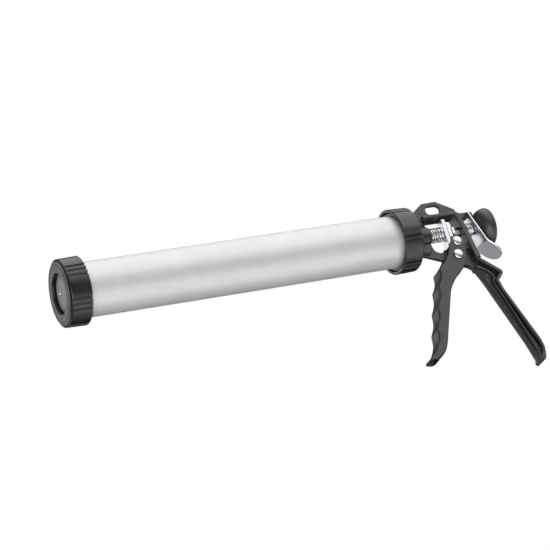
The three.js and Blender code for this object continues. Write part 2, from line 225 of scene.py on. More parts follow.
def slab(outline, low, high, bevel=0.5, holes=(), place=ACROSS, steps=3):
    """A flat plate with rounded edges, from a U-V outline, between two heights on W."""
    loops = []
    for loop, anticlockwise in [(outline, True), *((hole, False) for hole in holes)]:
        loop = [Vector(p[:2]) for p in loop]
        kept = [p for i, p in enumerate(loop) if (p - loop[i - 1]).length > 1e-4]
        loops.append(kept if (area(kept) > 0) == anticlockwise else kept[::-1])
    levels = []
    for turn in quarter_turn(steps):
        levels.append((bevel * (1 - math.sin(turn)), low + bevel * (1 - math.cos(turn))))
    levels += [(depth, low + high - height) for depth, height in reversed(levels)]
    points, faces = [], []
    ends = [[], []]
    for loop in loops:
        count = len(loop)
        base = len(points)
        for depth, height in levels:
            points += [Vector((p.x, p.y, height)) for p in inset(loop, depth)]
        for level in range(len(levels) - 1):
            here, above = base + level * count, base + (level + 1) * count
            for i in range(count):
                j = (i + 1) % count
                faces.append([here + i, here + j, above + j, above + i])
        ends[0].append(range(base, base + count))
        ends[1].append(range(base + (len(levels) - 1) * count, base + len(levels) * count))
    for end, flip in zip(ends, (True, False)):
        order = [i for loop in end for i in loop]
        for triangle in geometry.tessellate_polygon([[points[i] for i in loop] for loop in end]):
            a, b, c = (order[i] for i in triangle)
            normal = (points[b] - points[a]).cross(points[c] - points[a])
            faces.append([a, c, b] if (normal.z > 0) == flip else [a, b, c])
    return moved((points, faces), place)


def lathe(profile, segments=96, relief=None, place=Matrix()):
    """Turns a closed profile of (x, radius) about X. relief(x, radius, angle) sinks the surface."""
    profile = [(p[0], p[1]) for p in profile]
    points, faces, rings = [], [], []
    for x, radius in profile:
        base = len(points)
        if radius < 1e-4:
            points.append(Vector((x, 0, 0)))
            rings.append([base] * segments)
            continue
        for i in range(segments):
            angle = 2 * math.pi * i / segments
            r = radius - (relief(x, radius, angle) if relief else 0)
            points.append(Vector((x, r * math.cos(angle), r * math.sin(angle))))
        rings.append(list(range(base, base + segments)))
    for ring, after in zip(rings, rings[1:] + rings[:1]):
        if ring[0] == ring[1] and after[0] == after[1]:
            continue
        for i in range(segments):
            j = (i + 1) % segments
            faces.append(list(dict.fromkeys([ring[i], after[i], after[j], ring[j]])))
    return moved(facing_out(points, faces), place)


def drill(front, rear, radius, segments=48, place=Matrix()):
    """A plain round bar along X, used to cut others."""
    return lathe([(front, 0), (front, radius), (rear, radius), (rear, 0)], segments, place=place)


def loft(rings):
    """Skins closed rings of equally many points, and closes both ends."""
    count = len(rings[0])
    points = [p for ring in rings for p in ring]
    faces = []
    for level in range(len(rings) - 1):
        here, above = level * count, (level + 1) * count
        for i in range(count):
            j = (i + 1) % count
            faces.append([here + i, here + j, above + j, above + i])
    faces.append(list(range(count))[::-1])
    faces.append(list(range(len(points) - count, len(points))))
    return facing_out(points, faces)


def block(x, y, z):
    """A plain box between pairs of limits, used to cut others."""
    corners = [(x[0], z[0]), (x[1], z[0]), (x[1], z[1]), (x[0], z[1])]
    return slab(corners, -y[1], -y[0], 0.01, steps=1)


def combine(solid, others, operation):
    """Adds solids to a first one, or cuts them from it."""

    def stand_in(points_and_faces):
        mesh = bpy.data.meshes.new("stand_in")
        mesh.from_pydata(points_and_faces[0], [], points_and_faces[1])
        piece = bpy.data.objects.new("stand_in", mesh)
        bpy.context.scene.collection.objects.link(piece)
        return piece

    base = stand_in(solid)
    helpers = [stand_in(other) for other in others]
    for helper in helpers:
        modifier = base.modifiers.new("combine", "BOOLEAN")
        modifier.operation = operation
        modifier.solver = "EXACT"
        modifier.object = helper
    evaluated = base.evaluated_get(bpy.context.evaluated_depsgraph_get())
    mesh = evaluated.to_mesh()
    result = [v.co.copy() for v in mesh.vertices], [list(p.vertices) for p in mesh.polygons]
    evaluated.to_mesh_clear()
    for piece in [base, *helpers]:
        mesh = piece.data
        bpy.data.objects.remove(piece)
        bpy.data.meshes.remove(mesh)
    return result


def put(name, solid, material, body, replaces=(), sharp=35):
    """Makes a piece from a solid, in the row frame, and ties it to its CAD body."""
    points = [ORIGIN + p * MM for p in solid[0]]
    mesh = bpy.data.meshes.new(name)
    mesh.from_pydata(points, [], solid[1])
    mesh.shade_smooth()
    mesh.set_sharp_from_angle(angle=math.radians(sharp))
    mesh.materials.append(material)
    piece = bpy.data.objects.new(name, mesh)
    bpy.context.scene.collection.objects.link(piece)
    normals = piece.modifiers.new("normals", "WEIGHTED_NORMAL")
    normals.keep_sharp = True
    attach(piece, body)
    if replaces:
        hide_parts(*replaces)
    return piece


# Materials


class Nodes:
    """A material's node tree, built by short calls."""

    def __init__(self, name, specular=0.5):
        self.material = bpy.data.materials.new(name)
        self.material.use_nodes = True
        self.tree = self.material.node_tree
        self.shader = self.tree.nodes["Principled BSDF"]
        self.shader.inputs["Specular IOR Level"].default_value = specular
        self.place = self.tree.nodes.new("ShaderNodeTexCoord").outputs["Object"]

    def link(self, source, target):
        self.tree.links.new(source, target)

    def noise(self, scale, detail=3.0, stretch=(1, 1, 1)):
        """Noise with cells 1 / scale metres wide, finer along the axes with a larger stretch."""
        mapping = self.tree.nodes.new("ShaderNodeMapping")
        mapping.inputs["Scale"].default_value = stretch
        noise = self.tree.nodes.new("ShaderNodeTexNoise")
        noise.inputs["Scale"].default_value = scale
        noise.inputs["Detail"].default_value = detail
        self.link(self.place, mapping.inputs["Vector"])
        self.link(mapping.outputs["Vector"], noise.inputs["Vector"])
        return noise.outputs["Fac"]

    def spread(self, value, low, high, start=0.3, end=0.7):
        """Maps a value from start..end to low..high."""
        node = self.tree.nodes.new("ShaderNodeMapRange")
        node.inputs["From Min"].default_value = start
        node.inputs["From Max"].default_value = end
        node.inputs["To Min"].default_value = low
        node.inputs["To Max"].default_value = high
        self.link(value, node.inputs["Value"])
        return node.outputs["Result"]

    def mix(self, factor, first, second):
        node = self.tree.nodes.new("ShaderNodeMix")
        node.data_type = "RGBA"
        for socket, value in ((node.inputs[6], first), (node.inputs[7], second)):
            if isinstance(value, tuple):
                socket.default_value = (*value, 1)
            else:
                self.link(value, socket)
        self.link(factor, node.inputs[0])
        return node.outputs[2]

    def edges(self, strength=1.0):
        """High on convex edges, where a coat wears or thins."""
        pointiness = self.tree.nodes.new("ShaderNodeNewGeometry").outputs["Pointiness"]
        return self.spread(pointiness, 0, strength, 0.54, 0.64)

    def bump(self, *layers):
        """Each layer is (height, strength, depth in millimetres)."""
        normal = None
        for height, strength, depth in layers:
            node = self.tree.nodes.new("ShaderNodeBump")
            node.inputs["Strength"].default_value = strength
            node.inputs["Distance"].default_value = depth * MM
            self.link(height, node.inputs["Height"])
            if normal:
                self.link(normal, node.inputs["Normal"])
            normal = node.outputs["Normal"]
        self.link(normal, self.shader.inputs["Normal"])

    def set(self, **values):
        """Sets shader sockets: colour, roughness and so on, by number or by node output."""
        for name, value in values.items():
            socket = self.shader.inputs[name.replace("_", " ")]
            if isinstance(value, (int, float)):
                socket.default_value = value
            elif isinstance(value, tuple):
                socket.default_value = (*value, 1)
            else:
                self.link(value, socket)


def powder_coat(name):
    """Black powder coat on a casting: a fine orange peel, thin and greyer on its edges."""
    n = Nodes(name, specular=0.9)
    peel = n.noise(1500, 2)
    patches = n.noise(70, 4)
    coat = n.mix(n.spread(patches, 0, 1), (0.016, 0.016, 0.0165), (0.022, 0.022, 0.023))
    colour = n.mix(n.edges(0.8), coat, (0.20, 0.20, 0.205))
    n.set(Base_Color=colour, Roughness=n.spread(patches, 0.34, 0.44))
    n.bump((peel, 0.12, 0.03), (n.noise(400, 2), 0.1, 0.05))
    return n.material


def moulded(name, dark, light, rough):
    """Injection-moulded plastic: a fine even grain with a slight flow mottle."""
    n = Nodes(name, specular=0.9)
    grain = n.noise(2600, 2)
    flow = n.noise(90, 5, (0.4, 1, 1))
    base = n.mix(n.spread(flow, 0, 1), dark, light)
    edge = tuple(min(1, c * 2.2) for c in light)
    colour = n.mix(n.edges(0.4), base, edge)
    n.set(Base_Color=colour, Roughness=n.spread(flow, rough - 0.05, rough + 0.07))
    n.bump((grain, 0.22, 0.05))
    return n.material


def metal(name, dark, light, rough, grain=(1, 1, 1), scale=900, scratch=0.25, bare=1.0):
    """Bare or plated metal, with a grain finer across than along, and small patches of sheen."""
    n = Nodes(name)
    lines = n.noise(scale, 4, grain)
    clouds = n.noise(60, 4)
    colour = n.mix(n.spread(clouds, 0, 1), dark, light)
    sheen = n.spread(lines, rough - 0.06, rough + 0.08)
    n.set(Base_Color=colour, Metallic=bare, Roughness=sheen)
    n.bump((lines, scratch, 0.03))
    return n.material


def rubber(name):
    """Dull black rubber with a coarse mottle."""
    n = Nodes(name)
    mottle = n.noise(300, 4)
    n.set(Base_Color=n.mix(mottle, (0.010, 0.010, 0.010), (0.020, 0.020, 0.020)),
          Roughness=n.spread(mottle, 0.72, 0.88))
    n.bump((n.noise(1800, 3), 0.4, 0.08))
    return n.material


COAT = powder_coat("powder_coat")
PLASTIC = moulded("black_plastic", (0.007, 0.007, 0.0075), (0.011, 0.011, 0.0115), 0.30)
KNOB_PLASTIC = moulded("knob_plastic", (0.024, 0.024, 0.025), (0.032, 0.032, 0.033), 0.42)
GREY_PLASTIC = moulded("grey_plastic", (0.24, 0.24, 0.25), (0.30, 0.30, 0.31), 0.42)
NYLON = moulded("nylon", (0.66, 0.65, 0.60), (0.74, 0.73, 0.68), 0.50)
ALUMINIUM = metal("satin_aluminium", (0.77, 0.78, 0.80), (0.82, 0.83, 0.845), 0.46,
                  grain=(0.03, 1, 1), scale=1400, scratch=0.12, bare=0.4)
ZINC = metal("zinc_plate", (0.62, 0.64, 0.67), (0.74, 0.75, 0.77), 0.26)
ROD_STEEL = metal("rod_steel", (0.60, 0.61, 0.63), (0.70, 0.71, 0.72), 0.20, grain=(0.05, 1, 1))
CHROME = metal("bright_plate", (0.80, 0.81, 0.82), (0.88, 0.885, 0.89), 0.12, scratch=0.1)
RIVET_STEEL = metal("rivet_steel", (0.78, 0.79, 0.80), (0.86, 0.865, 0.87), 0.34, scratch=0.1)
RUBBER = rubber("black_rubber")


# Barrel


def make_tube():
    profile = soften([
        (TUBE_FRONT, TUBE_OUTER - TUBE_WALL), (TUBE_FRONT, TUBE_OUTER),
        (TUBE_REAR, TUBE_OUTER), (TUBE_REAR, TUBE_OUTER - TUBE_WALL),
    ], 0.4)
    put("tube_shell", lathe(profile, 160), ALUMINIUM, "barrel", ["barrel_tube"])


def grip_relief(closed, inward, phase):
    """Round-bottomed finger grooves in groups, that run out before the cap's face."""
    start = closed + inward * 2.2
    run_out = 1.4

    def relief(x, radius, angle):
        if radius < CAP_OUTER - run_out:
            return 0
        into = (x - start) * inward
        if into <= 0:
            return 0
        # The grooves are counted from the camera's side, upwards.
        turn = math.degrees(math.atan2(math.sin(angle), -math.cos(angle))) - phase
        sector = 360 / GRIP_GROUPS
        off_group = (turn + sector / 2) % sector - sector / 2
        nearest = min(range(GRIPS_PER_GROUP), key=lambda i: abs(off_group - (i - 1) * GRIP_PITCH))
        off = math.radians(off_group - (nearest - 1) * GRIP_PITCH) * CAP_OUTER
        if abs(off) >= GRIP_WIDTH / 2:
            return 0
        shape = math.cos(math.pi * off / GRIP_WIDTH) ** 0.7
        return GRIP_DEPTH * shape * min(1, into / run_out)

    return relief


def make_screw_cap(name, node, body, closed, opening, phase):
    """A cap with a holed face, a stepped chamfer, grip grooves and a plain bore."""
    inward = 1 if opening > closed else -1
    wide = CAP_OUTER + CAP_FLARE
    face = [
        (0, CAP_HOLE + 0.7, 0), (0.0, 27.4, 0.2), (0.45, 27.7, 0.2), (0.45, 28.5, 0.2),
        (0.15, 28.8, 0.2), (0.35, 30.6, 1.0), (1.9, CAP_OUTER - 0.1, 0.9),
    ]
    wall_stations = (2.4, 3.0, 3.6, 4.4, 6, 9, 12, 15, 18, 20)
    wall = [(x, CAP_OUTER + CAP_FLARE * x / 22, 0) for x in wall_stations]
    depth = abs(opening - closed)
    rim = [(depth - 0.6, wide, 0.4), (depth, wide - 0.7, 0.4), (depth, CAP_BORE + 0.5, 0.4)]
    inside = [
        (depth - 0.6, CAP_BORE, 0), (3.4, CAP_BORE, 0.4), (3.4, CAP_HOLE + 0.5, 0.3),
        (2.9, CAP_HOLE, 0.3), (0.7, CAP_HOLE, 0.3),
    ]
    profile = soften(face + wall + rim + inside, 0.3, 3)
    profile = [(closed + inward * x, r) for x, r in profile]
    solid = lathe(profile, 720, grip_relief(closed, inward, phase))
    put(name, solid, PLASTIC, body, [node], sharp=40)


# Frame casting

# The handle's rear bar, inner rib and front lip as lines down the handle, and the tip's outline.
HANDLE_REAR = [
    (62.5, -33.5), (66.2, -38.4), (84.4, -55.2), (75.6, -63.4), (77.6, -74.8), (96.6, -134.6),
    (97.8, -143), (96.8, -149.6), (94.8, -155.4),
]
HANDLE_RIB = [
    (60, -44), (69, -50.5), (73.6, -57), (71.6, -66), (80.8, -101), (88, -130), (90.6, -141),
    (92.2, -149.5), (93.6, -156),
]
HANDLE_FRONT = [
    (47.4, -38), (52.4, -39.4), (58.4, -45.6), (63.4, -58.6), (91.8, -156.6),
]
HANDLE_TIP = [
    (93.6, -150.4, 1), (95.6, -149, 1), (97.8, -152.6, 2), (96.2, -156.6, 2), (93.9, -158.4, 1),
    (92.4, -157.6, 1.5), (91.4, -155, 1),
]


def frame_web():
    """The flat web of the frame and handle, with the window and the hang slot."""
    outline = [
        (2.6, 21.4, 0.5), (26.4, 37.1, 1.6), (42.8, 37.5, 1.6), (62, 25.4, 1), (61, 19, 1),
        (62.4, -20, 0), *HANDLE_REAR[1:], *HANDLE_FRONT[:1:-1], (52.4, -39.4, 3),
        (47.4, -38.8, 2), (42, -38.6, 3), (34, -35, 3), (26, -29.8, 3), (2.6, -19.6, 0.5),
    ]
    window = [
        (25.4, 18, 0.5), (58, 18, 0.5), (60, -21, 2), *arc(29, -13, 8, -90, -180),
        (BOSS_REAR - 0.4, -9, 0.5), (BOSS_REAR - 0.4, 10, 0.5),
    ]
    slot = arc(40.4, 28.2, 4.8, -90, 90) + arc(33.2, 28.2, 4.8, 90, 270)
    return slab(soften(outline), -WEB_HALF, WEB_HALF, 0.5, [soften(window), soften(slot)])


def frame_flange():
    """The top flange and the rear bar, as one bent strip round the window."""
    outline = [
        (18.4, 20.2, 0.4), (58, 20.2, 2), (61.9, 15.5, 4), (67.2, -35, 1), (65, -37.6, 1),
        (61.6, -36.4, 1), (56.6, 13, 4.5), (56, 16.8, 4), (18.4, 16.8, 0.4),
    ]
    return slab(soften(outline, steps=6), -FLANGE_HALF, FLANGE_HALF, 0.7)


def handle_front():
    """The handle's front: a bead, a step, and a web that turns up into the rib."""
    front = soften(HANDLE_FRONT, 6, closed=False)
    rib = soften([HANDLE_RIB[0], *HANDLE_RIB[2:]], 6, closed=False)
    # Each point is (distance behind the front line, half thickness).
    beads = [
        (-0.9, 1.2), (-0.95, 1.7), (-0.7, 2.05), (0.1, 2.1), (0.35, 2.15), (0.6, 2.35), (1.3, 3.2),
        (1.6, 3.4), (2.2, 3.45), (2.4, 3.3), (2.5, 2.4), (2.9, 2.3), (4.1, 2.75), (4.5, 2.85),
    ]
    channel_edge, channel_half = beads[-1]
    stations, steps = 30, 8
    rings = []
    for station in range(stations + 1):
        fraction = station / stations
        a = path_point(front, fraction)
        b = path_point(rib, fraction)
        width = (b - a).length
        hollow_start = max(channel_edge + 0.2, width - 4.5)
        hollow_end = max(width - 0.5, hollow_start + 0.3)
        profile = list(beads)
        for i in range(steps + 1):
            t = i / steps
            rise = (RIB_HALF - 0.4 - channel_half) * (1 - math.sqrt(1 - t * t))
            profile.append((hollow_start + (hollow_end - hollow_start) * t, channel_half + rise))
        profile.append((hollow_end + 0.8, RIB_HALF - 0.6))
        heading = (b - a).normalized()
        near = [(a.x + heading.x * d, -h, a.y + heading.y * d) for d, h in profile]
        far = [(x, -y, z) for x, y, z in reversed(near)]
        rings.append([Vector(p) for p in near + far])
    return loft(rings)


def frame_boss():
    """The boss round the rod, with the spigot for the end plug in front of it."""
    step = 0.6
    return lathe(soften([
        (SPIGOT_FRONT, BOSS_BORE, 0.3), (SPIGOT_FRONT, SPIGOT_RADIUS, 0.4),
        (BOSS_FRONT, SPIGOT_RADIUS, 0), (BOSS_FRONT, BOSS_RADIUS - step, 0.3),
        (BOSS_FRONT + step, BOSS_RADIUS, 0.3), (12, BOSS_RADIUS, 0.3),
        (12.8, BOSS_RADIUS - step, 0.3), (18, BOSS_RADIUS - step, 0.3),
        (BOSS_REAR, BOSS_RADIUS - 2.2, 0.8), (BOSS_REAR, BOSS_BORE, 0.3),
    ]), 64)


def frame_gussets():
    """Short ribs that carry the boss into the web, above and below."""
    upper = [(3, 10), (3, 20.5, 0.5), (20, 20.5, 0.5), (20, 16.8, 3), (17.5, 10, 3)]
    lower = [(3, -10), (3, -19, 0.5), (15, -22, 0.5), (20, -15, 3), (18, -9, 3)]
    half = 4.4
    return merge(*(slab(soften(outline), -half, half, 1.6, steps=4) for outline in (upper, lower)))


def frame_hook():
    """The hook behind the frame that the release plate hangs on."""
    outline = [
        (58, HOOK_BOTTOM, 0), (HOOK_REAR, HOOK_BOTTOM, 2.4), (HOOK_REAR, HOOK_TOP, 2.4),
        (66, HOOK_TOP, 2), (58, HOOK_TOP + 2.5, 0),
    ]
    return slab(soften(outline, steps=5), -HOOK_HALF, HOOK_HALF, 0.8)


def make_frame():
    rear = slab(strip(HANDLE_REAR, FLANGE, 2.2), -FLANGE_HALF, FLANGE_HALF, 0.9, steps=4)
    rib = slab(strip(HANDLE_RIB, 1.6, 3), -RIB_HALF, RIB_HALF, 0.5)
    eye = slab(soften(arc(*PIVOT, EYE_RADIUS, 0, 360, 32)[:-1]), -EYE_HALF, EYE_HALF, 0.6)
    tip_half = FLANGE_HALF + 0.15
    tip = slab(soften(HANDLE_TIP), -tip_half, tip_half, 1.2, steps=4)
    body = combine(frame_web(), [frame_flange(), rear, rib, frame_gussets(), frame_hook(), eye, tip],
                   "UNION")
    rod_way = drill(-40, BOSS_REAR + 9, BOSS_BORE - 0.05)
    bar_hole = drill(50, 70, ROD_HOLE)
    pin_hole = drill(-9, 9, EYE_BORE, 32, pin_place(PIVOT))
    body = combine(body, [rod_way, bar_hole, pin_hole], "DIFFERENCE")
    solid = merge(body, frame_boss(), handle_front())
    put("frame_casting", solid, COAT, "frame", ["main_frame"], sharp=40)


# Trigger and rivets


def pin_place(point):
    """Where a shape turned about X goes, to lie across the gun at a point."""
    return Matrix.Translation((point[0], 0, point[1])) @ Matrix.Rotation(math.radians(90), 4, "Z")


RIDGES = [(15, -42), (6.5, -61.3), (-2.9, -83.9), (-11.9, -106.5), (-20.4, -128.4)]
TOE = (-30, -134.8)


def trigger_front():
    """The scalloped front line of the lever, with how deep each point lies in a finger groove."""
    line = []
    for above, below in zip(RIDGES, RIDGES[1:]):
        steps = 10
        for i in range(steps):
            t = i / steps
            dip = math.sin(math.pi * t) ** 1.3
            x = above[0] + (below[0] - above[0]) * t + 1.6 * dip
            z = above[1] + (below[1] - above[1]) * t - 0.7 * dip
            line.append((x, z, dip))
    for x, z, _ in [(*RIDGES[-1], 0), *bow(RIDGES[-1], (-24.6, -131.4), TOE, 6)]:
        line.append((x, z, 0))
    return line


def trigger_rear():
    """The rear line of the lever, from the cheeks down and round under the toe."""
    line = [(42.6, -44.4, 0), *bow((42.6, -44.4), (23.3, -58), (18, -69.6), 10), (-2.4, -114.6, 0)]
    line += bow(line[-1], (-8.2, -129), (-14.6, -133.4), 8)
    line += bow(line[-1], (-17, -135.6), (-20, -136.4), 4)
    return [(x, z) for x, z, _ in line]


def trigger_lever():
    """The lever as rings across it, each with a rounded front and narrower back corners."""
    front = trigger_front()
    rear = trigger_rear()
    rings = []
    for i, (x, z, groove) in enumerate(front):
        fraction = i / (len(front) - 1)
        a = Vector((x, z))
        b = path_point(rear, fraction)
        width = (b - a).length
        heading = (b - a).normalized()
        toe = max(0, (fraction - 0.9) / 0.1)
        front_radius = min(2.2 + 2.6 * groove + 2 * toe, 0.6 * width)
        front_half = TRIGGER_HALF - 1.4 - 0.8 * groove - 3.5 * toe
        back_radius = 1.3 + 2.5 * toe
        profile = []
        for turn in quarter_turn(7):
            profile.append((front_radius * (1 - math.cos(turn)),
                            front_half + (TRIGGER_HALF - front_half) * math.sin(turn)))
        for turn in quarter_turn(4):
            profile.append((width - back_radius * (1 - math.sin(turn)),
                            TRIGGER_HALF - back_radius * (1 - math.cos(turn))))
        near = [(a.x + heading.x * d, -h, a.y + heading.y * d) for d, h in profile]
        far = [(px, -py, pz) for px, py, pz in reversed(near)]
        rings.append([Vector(p) for p in near + far])
    # The hollow casting shows its open end at the toe, as a rim round a deep pocket.
    end = rings[-1]
    centre = sum(end, Vector()) / len(end)
    way = Vector((rear[-1][1] - TOE[1], 0, TOE[0] - rear[-1][0])).normalized()
    for sunk, scale in ((0.8, 1.0), (1.3, 0.97), (1.4, 0.93), (1.1, 0.89)):
        rings.append([centre + way * sunk + (p - centre) * scale for p in end])
    pocket = Vector((7, 0, 7))
    rings.append([centre + pocket + (p - centre) * 0.5 for p in end])
    return loft(rings)


def trigger_cheek():
    """The side outline of the cheeks that straddle the frame, up to the drive rivet."""
    neck, shoulder, crown = (34, -22.6), (42.4, -10.8), (51.8, -12.2)
    return soften([
        (15.5, -43, 0), *bow(RIDGES[0], (28.6, -32.4), neck), *bow(neck, (37, -14), shoulder),
        *bow(shoulder, (48, -6.6), crown), *bow(crown, (54.4, -23), (49.2, -34.6)),
        (42.6, -44.4, 3), (36, -50, 1), (20, -52, 1),
    ])


def make_trigger():
    cheeks = slab(trigger_cheek(), -TRIGGER_HALF, TRIGGER_HALF, 0.8, steps=4)
    inner = TRIGGER_HALF - CHEEK
    yoke = drill(-inner, inner, YOKE_RADIUS, 72, pin_place(PIVOT))
    opening = block((20, 62), (-inner, inner), (PIVOT[1], 0))
    solid = combine(trigger_lever(), [cheeks], "UNION")
    solid = combine(solid, [yoke, opening], "DIFFERENCE")
    put("trigger_casting", solid, COAT, "trigger", ["trigger"], sharp=40)


def make_rivet(name, node, body, point):
    """A rivet with a domed head on each side, each with a thin flat skirt."""
    reach, skirt = TRIGGER_HALF + GAP, 0.45
    half = [(reach + RIVET_DOME, 0)]
    for turn in quarter_turn(8)[1:]:
        half.append((reach + skirt + (RIVET_DOME - skirt) * math.cos(turn), RIVET_HEAD * math.sin(turn)))
    half += [(reach + 0.1, RIVET_HEAD), (reach, RIVET_HEAD - 0.15), (reach, RIVET_SHANK)]
    profile = half + [(-x, r) for x, r in reversed(half)]
    put(name, lathe(profile, 40, place=pin_place(point)), RIVET_STEEL, body, [node])


# Drive and release


def hexagon(flats, turn=0, edge=0.35):
    radius = flats / math.sqrt(3)
    corners = [math.radians(turn + 60 * i) for i in range(6)]
    return soften([(radius * math.cos(a), radius * math.sin(a)) for a in corners], edge, 3)


def round_hole(radius, steps=40):
    return [p[:2] for p in arc(0, 0, radius, 0, 360, steps)][:-1]


def make_drive_plates():
    """Two sheared plates on the rod and the spacer behind them, all leaning with the drive."""
    lean = Matrix.Rotation(math.radians(PLATE_TILT), 4, "Y")

    def plate(half, bottom, top):
        return soften([(-half, bottom, 3), (half, bottom, 3), (half, top, 0.6), (-half, top, 0.6)])

    for name, node, outline, thick, bevel, hole, x in (
        ("drive_jaw", "drive_plate_front", plate(6, -17, 14.8), PLATE_THICK, 0.35, PLATE_HOLE,
         PLATE_X - PLATE_THICK),
        ("drive_backing", "drive_plate_rear", plate(5.8, -8.6, 8.8), PLATE_THICK, 0.35, PLATE_HOLE,
         PLATE_X + GAP),
        ("drive_spacer", "plate_spacer", hexagon(SPACER_FLATS, 30), SPACER_THICK, 0.4, ROD_HOLE,
         PLATE_X + PLATE_THICK + 2 * GAP),
    ):
        place = Matrix.Translation((x, 0, 0)) @ lean @ ALONG
        solid = slab(outline, 0, thick, bevel, [round_hole(hole)], place)
        put(name, solid, ZINC, "drive_plates", [node])


def coil(front, rear, radius, wire, turns):
    """A compression spring with a closed coil at each end."""
    per_turn, sides = 40, 12
    closed = wire * 1.02
    pitch = (rear - front - 2 * closed) / (turns - 2)
    rings = []
    for i in range(int(turns * per_turn) + 1):
        t = i / per_turn
        x = front + min(t, 1) * closed + min(max(t - 1, 0), turns - 2) * pitch
        x += max(t - (turns - 1), 0) * closed
        turn = 2 * math.pi * t
        out = Vector((0, math.cos(turn), math.sin(turn)))
        centre = Vector((x, 0, 0)) + out * radius
        ring = []
        for side in range(sides):
            angle = 2 * math.pi * side / sides
            spoke = out * math.cos(angle) + Vector((1, 0, 0)) * math.sin(angle)
            ring.append(centre + spoke * wire / 2)
        rings.append(ring)
    return loft(rings)


def make_springs():
    """Each spring is a fixed coil between its CAD node's two ends, tied to the frame."""
    for name, node, radius, wire, turns, joint, travel in (
        ("drive_coil", "drive_spring", 7.2, 1.5, 5.5, "drive_slide", 6.8),
        ("release_coil", "release_spring", 6.8, 1.2, 4, "release_hinge", 1.15),
    ):
        front, rear = span(node)
        solid = coil(front + wire / 2, rear - wire / 2, radius, wire, turns)
        spring = put(name, solid, CHROME, "frame", [node])
        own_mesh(spring)


def make_release_plate():
    """A pressed steel plate: it leans on the rod, then bends back into a round thumb tab."""
    top, bend = Vector((70.3, 17.4)), Vector((77.3, -18.6))
    tab_way = Vector((0.7, -0.714)).normalized()
    thick, top_half, tab_half, straight = 2.0, 9.0, 13.5, 9.8
    bend_reach, edge = 2.5, 0.35
    lean_way = (bend - top).normalized()
    side = Vector((-lean_way.y, lean_way.x))
    top += side * thick / 2
    bend += side * thick / 2
    bend_start = bend - lean_way * bend_reach
    bend_end = bend + tab_way * bend_reach
    stations = []
    for i in range(15):
        t = i / 14
        stations.append((top.lerp(bend_start, t), top_half + (tab_half - top_half) * t))
    for i in range(1, 7):
        t = i / 7
        point = bend_start * (1 - t) ** 2 + bend * 2 * t * (1 - t) + bend_end * t**2
        stations.append((point, tab_half))
    round_start = bend + tab_way * straight
    for i in range(4):
        stations.append((bend_end.lerp(round_start, i / 4), tab_half))
    # The round end stops just short of a full quarter turn, so its last ring keeps some width.
    for turn in quarter_turn(24):
        turn *= 0.985
        stations.append((round_start + tab_way * tab_half * math.sin(turn), tab_half * math.cos(turn)))
    rings = []
    for i, (point, half) in enumerate(stations):
        before = stations[max(i - 1, 0)][0]
        after = stations[min(i + 1, len(stations) - 1)][0]
        way = (after - before).normalized()
        up = Vector((-way.y, way.x))
        h, k = thick / 2, min(edge, half / 2)
        section = [(-half + k, -h), (half - k, -h), (half, -h + k), (half, h - k),
                   (half - k, h), (-half + k, h), (-half, h - k), (-half, -h + k)]
        rings.append([Vector((point.x + up.x * d, y, point.y + up.y * d)) for y, d in section])
    notch = block((60, 90), (-HOOK_HALF - GAP, HOOK_HALF + GAP), (HOOK_BOTTOM - 2 * GAP, 30))
    solid = combine(loft(rings), [notch, drill(60, 90, ROD_HOLE)], "DIFFERENCE")
    put("release_pressing", solid, ZINC, "release_plate", ["release_plate"], sharp=30)


# Rod, knob and piston


def make_rod():
    low, high = span("push_rod")
    solid = slab(hexagon(ROD_FLATS, 0, 0.4), low, high, 0.5, place=ALONG)
    put("hex_rod", solid, ROD_STEEL, "rod", ["push_rod"])


def make_knob():
    """A domed knob with a rim at its back, a flat rear face and a blind hole for the rod."""
    front, rear = span("rod_knob")
    rim, radius, hub, seat, hole_end = 89.2, 20.6, 6.4, 4.65, 88.7
    dome_length, dome_rise = rim - 0.4 - front, radius - 0.5 - hub
    dome = []
    for turn in quarter_turn(12):
        dome.append((front + dome_length * (1 - math.cos(turn)), hub + dome_rise * math.sin(turn)))
    profile = [
        (front + 0.3, seat), (front, seat + 0.3), *dome, (rim, radius - 0.4), (rim + 0.3, radius),
        (rear - 0.9, radius), (rear - 0.3, radius - 0.3), (rear, radius - 1), (rear, 4), (rear, 0),
        (hole_end, 0), (hole_end, seat),
    ]
    put("knob_dome", lathe(profile, 96), KNOB_PLASTIC, "rod", ["rod_knob"])


def make_piston():
    """The piston's grey disc, with a dished front and a flange, and the screw in its middle."""
    disc_front, disc_rear = span("piston_disc")
    bore, crown_radius, flange_radius, steps = 1.9, 19.1, 24.4, 16
    crown = []
    for i in range(steps + 1):
        r = bore + (crown_radius - bore) * i / steps
        crown.append((disc_front + 2.6 * (r / crown_radius) ** 2.4, r, 0))
    profile = soften([
        *crown, (disc_front + 4.4, crown_radius + 0.4, 0.6),
        (disc_rear - 3.3, crown_radius + 0.5, 0.8), (disc_rear - 3.0, flange_radius, 0.4),
        (disc_rear, flange_radius, 0.3), (disc_rear, bore, 0.3),
    ])
    put("piston_face", lathe(profile, 128), GREY_PLASTIC, "rod", ["piston_disc"])
    low, high = span("piston_screw")
    head, shank, seat = 2.4, 1.6, 1.1
    profile = [
        (low + 0.6, 0), (low + 0.6, 0.8), (low + 0.1, 1.0), (low, 1.2), (low + 0.25, 1.9),
        (low + 0.6, 2.25), (low + seat, head), (low + seat, shank), (high, shank), (high, 0),
    ]
    put("piston_screw_head", lathe(profile, 32), CHROME, "rod", ["piston_screw"])


